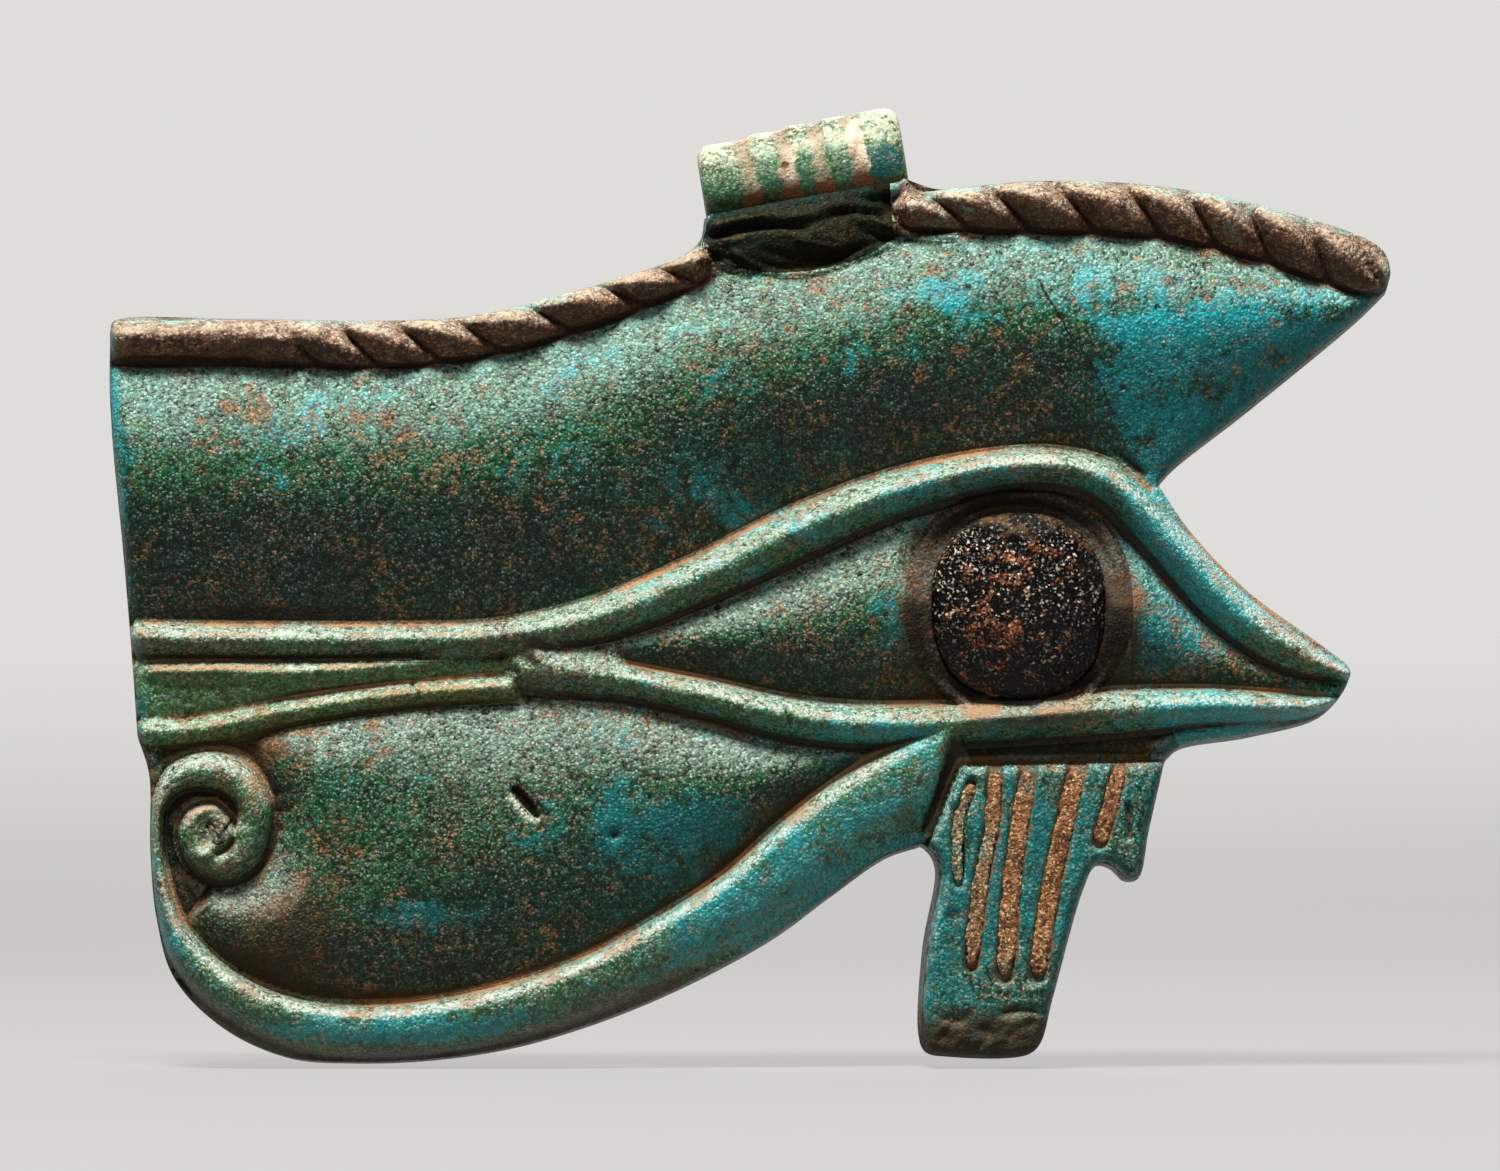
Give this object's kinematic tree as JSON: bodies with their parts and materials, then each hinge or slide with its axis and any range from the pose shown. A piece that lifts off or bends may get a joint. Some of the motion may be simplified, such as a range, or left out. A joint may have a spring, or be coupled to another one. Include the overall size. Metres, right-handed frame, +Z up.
{
  "type": "wedjat eye amulet",
  "caption": "Flat-backed wedjat eye amulet of glazed faience with raised brow, corded brow edge, lids, pupil, curled cheek band, ribbed drop and a ribbed suspension tube.",
  "frame": {"origin": "middle of the suspension tube's bore", "axes": "+Z up as it hangs, +X to the viewer's right along the brow, -Y out of the modelled front face"},
  "size_m": [0.0599, 0.0065, 0.0447],
  "materials": {
    "body_glaze": "worn green glaze on the plate's walls and back",
    "pale_glaze": "pale worn green glaze with buff wear in the grooves",
    "brow_glaze": "speckled teal and green glaze, satin",
    "rope_glaze": "dark purplish brown glaze with tan wear",
    "dark_glaze": "dark brown-green glaze",
    "turquoise_glaze": "turquoise glaze, satin, with pale wear along the crests",
    "olive_glaze": "speckled olive green glaze, satin",
    "pupil_glaze": "near-black glaze with rusty grains, glinting",
    "fill_paste": "matte grainy orange-brown paste"
  },
  "bodies": {
    "root": {"ground_plate": "body_glaze", "suspension_tube": "pale_glaze", "brow_band": "brow_glaze", "brow_rope_left": "rope_glaze", "brow_rope_right": "rope_glaze", "tube_saddle": "dark_glaze", "upper_lid": "turquoise_glaze", "lower_lid": "turquoise_glaze", "lower_tail": "olive_glaze", "tail_panel": "olive_glaze", "eye_white_inner": "olive_glaze", "eye_white_outer": "olive_glaze", "pupil_rim": "dark_glaze", "pupil": "pupil_glaze", "cheek_panel": "olive_glaze", "cheek_band": "turquoise_glaze", "ribbed_drop": "turquoise_glaze", "drop_fill_1": "fill_paste", "drop_fill_2": "fill_paste", "drop_fill_3": "fill_paste", "drop_fill_4": "fill_paste", "drop_fill_5": "fill_paste"}
  },
  "joints": []
}
